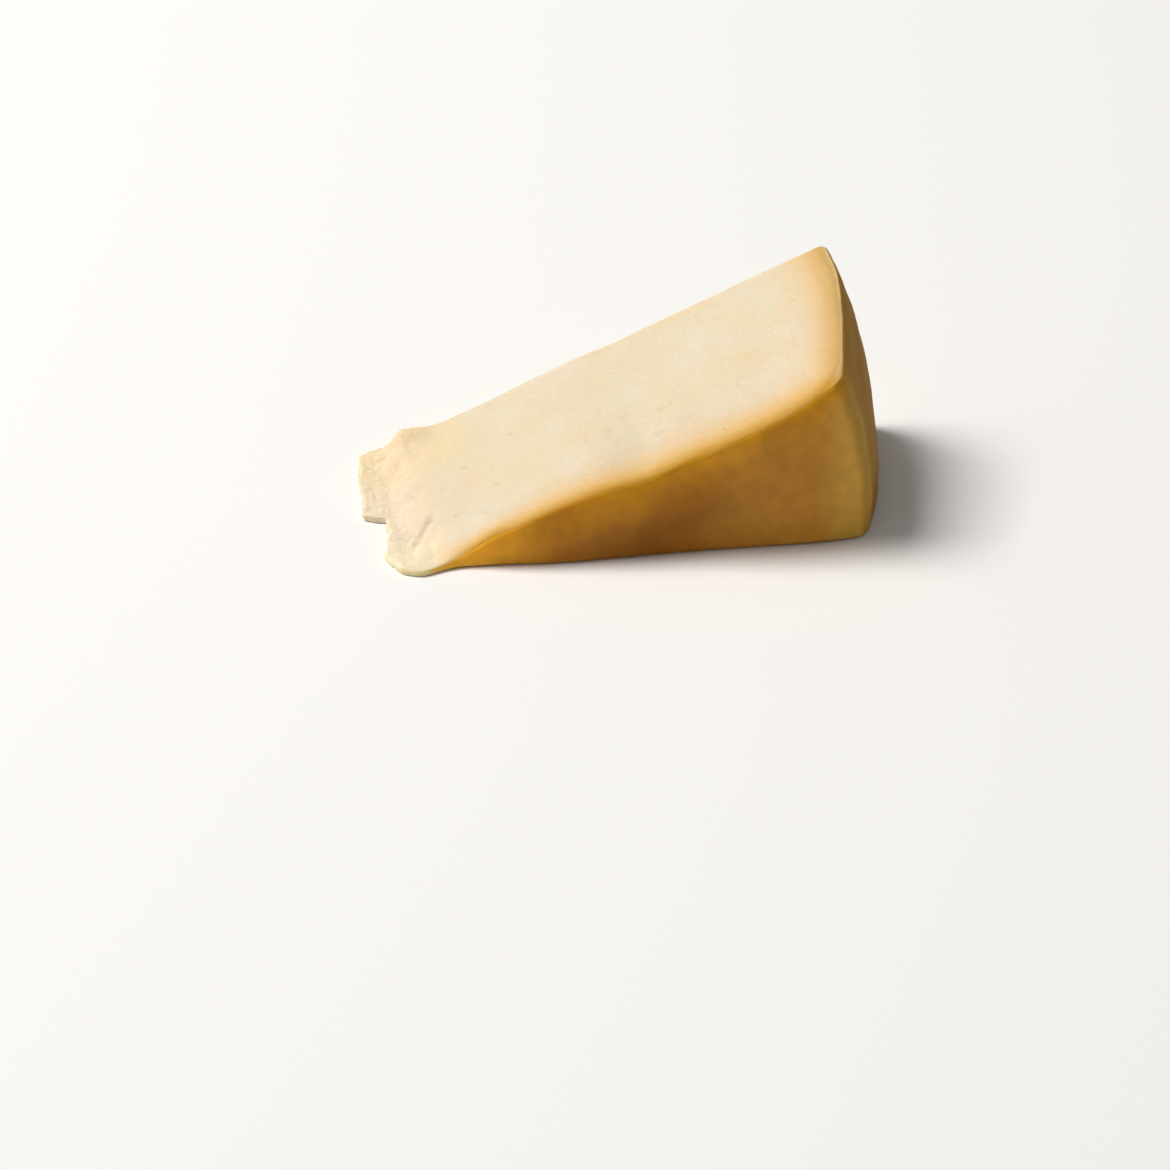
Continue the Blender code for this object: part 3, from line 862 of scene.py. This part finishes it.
# Relief in millimetres: the cloth's threads along all three axes, worn away in places, and small dents.
cloth = 0.0
for axis in ("X", "Z", "Y"):
    threads = add(
        tree,
        "TexWave",
        {"Vector": place, "Scale": math.pi / (10.0 * CLOTH_THREAD), "Distortion": 0.6},
        bands_direction=axis,
    ).outputs["Fac"]
    cloth = add(tree, "Math", {0: cloth, 1: threads}, operation="ADD").outputs[0]
printed = add(tree, "TexNoise", {"Vector": place, "Scale": 1.0 / CLOTH_WEAR_SIZE, "Detail": 2.0})
printed = add(
    tree,
    "MapRange",
    {"Value": printed.outputs["Fac"], "From Min": 0.42, "From Max": 0.62, "To Max": CLOTH_HEIGHT},
).outputs["Result"]
cloth = add(tree, "Math", {0: cloth, 1: printed}, operation="MULTIPLY").outputs[0]
dents = add(tree, "TexNoise", {"Vector": place, "Scale": 1.0 / SMALL_DENT_SIZE, "Detail": 4.0})
dents = add(tree, "MapRange", {"Value": dents.outputs["Fac"], "To Max": SMALL_DENT_HEIGHT})
surface = add(tree, "Math", {0: cloth, 1: dents.outputs["Result"]}, operation="ADD").outputs[0]
bump = add(tree, "Bump", {"Strength": 0.8, "Distance": 0.001, "Height": surface}).outputs["Normal"]
gloss = add(
    tree, "MapRange", {"Value": blotch, "From Min": 0.3, "From Max": 0.7, "To Min": 0.52, "To Max": 0.64}
).outputs["Result"]
gloss = add(tree, "Math", {0: rim_near, 1: RIM_DULLNESS, 2: gloss}, operation="MULTIPLY_ADD").outputs[0]
tree.links.new(mixed, shader.inputs["Base Color"])
tree.links.new(bump, shader.inputs["Normal"])
tree.links.new(gloss, shader.inputs["Roughness"])
shader.inputs["IOR"].default_value = 1.46
shader.inputs["Specular IOR Level"].default_value = 0.15
shader.inputs["Subsurface Weight"].default_value = 0.6
shader.inputs["Subsurface Radius"].default_value = (1.0, 0.45, 0.12)
shader.inputs["Subsurface Scale"].default_value = 0.0080
wedge_mesh.materials.append(rind)

# The floor: a wide sheet of matt white studio paper. It isn't part of the wedge.
FLOOR_HALF = 6.0
PAPER_WHITE = "#FAF9F7"
FIBRE_SIZE = 0.003

floor_mesh = bpy.data.meshes.new("studio_floor")
floor_corners = [(-FLOOR_HALF, -FLOOR_HALF, 0.0), (FLOOR_HALF, -FLOOR_HALF, 0.0)]
floor_corners += [(FLOOR_HALF, FLOOR_HALF, 0.0), (-FLOOR_HALF, FLOOR_HALF, 0.0)]
floor_mesh.from_pydata(floor_corners, [], [(0, 1, 2, 3)])
floor = bpy.data.objects.new("studio_floor", floor_mesh)
bpy.context.collection.objects.link(floor)
paper, tree, shader, place = finish("matt_studio_paper")
fibres = add(tree, "TexNoise", {"Vector": place, "Scale": 1.0 / FIBRE_SIZE, "Detail": 4.0}).outputs["Fac"]
bump = add(tree, "Bump", {"Strength": 0.2, "Distance": 0.0001, "Height": fibres}).outputs["Normal"]
tree.links.new(bump, shader.inputs["Normal"])
shader.inputs["Base Color"].default_value = linear(PAPER_WHITE)
shader.inputs["Roughness"].default_value = 0.85
shader.inputs["Specular IOR Level"].default_value = 0.25
floor_mesh.materials.append(paper)

# The light: one large soft box behind the wedge, high and to the left, and a dim even room.
KEY_PLACE = Vector((-2.75, 1.10, 4.60))
KEY_AIM = Vector((0.0, 0.0, 0.03))
KEY_SIZE = 2.4
KEY_POWER = 288.0
KEY_COLOUR = (1.0, 0.985, 0.955)
ROOM_LIGHT = 0.22

key_light = bpy.data.lights.new("key_softbox", "AREA")
key_light.shape = "SQUARE"
key_light.size = KEY_SIZE
key_light.energy = KEY_POWER
key_light.color = KEY_COLOUR
key = bpy.data.objects.new("key_softbox", key_light)
key.location = KEY_PLACE
key.rotation_euler = (KEY_AIM - KEY_PLACE).to_track_quat("-Z", "Y").to_euler()
bpy.context.collection.objects.link(key)
room = bpy.data.worlds.new("dim_room")
room.use_nodes = True
room.node_tree.nodes["Background"].inputs["Color"].default_value = (1.0, 1.0, 1.0, 1.0)
room.node_tree.nodes["Background"].inputs["Strength"].default_value = ROOM_LIGHT
bpy.context.scene.world = room
bpy.context.scene.view_settings.view_transform = "Standard"

# The camera: a long lens 2.2 m away that looks down at 30 degrees, with the wedge in the upper half.
CAMERA_AZIMUTH = math.radians(-8.0)
CAMERA_ELEVATION = math.radians(30.0)
CAMERA_DISTANCE = 2.2016
CAMERA_RIGHT = -0.0182
CAMERA_UP = -0.0711
LOOK_HEIGHT = 0.04
FIELD_OF_VIEW = math.radians(13.0)
SENSOR_WIDTH = 36.0

back = Vector((
    math.sin(CAMERA_AZIMUTH) * math.cos(CAMERA_ELEVATION),
    -math.cos(CAMERA_AZIMUTH) * math.cos(CAMERA_ELEVATION),
    math.sin(CAMERA_ELEVATION),
))
right = Vector((math.cos(CAMERA_AZIMUTH), math.sin(CAMERA_AZIMUTH), 0.0))
up = back.cross(right)
camera_data = bpy.data.cameras.new("long_lens")
camera_data.sensor_width = SENSOR_WIDTH
camera_data.lens = 0.5 * SENSOR_WIDTH / math.tan(0.5 * FIELD_OF_VIEW)
camera = bpy.data.objects.new("long_lens", camera_data)
eye = Vector((0.0, 0.0, LOOK_HEIGHT)) + CAMERA_DISTANCE * back + CAMERA_RIGHT * right + CAMERA_UP * up
turn = Matrix((right, up, back)).transposed().to_4x4()
camera.matrix_world = Matrix.Translation(eye) @ turn
bpy.context.collection.objects.link(camera)
bpy.context.scene.camera = camera
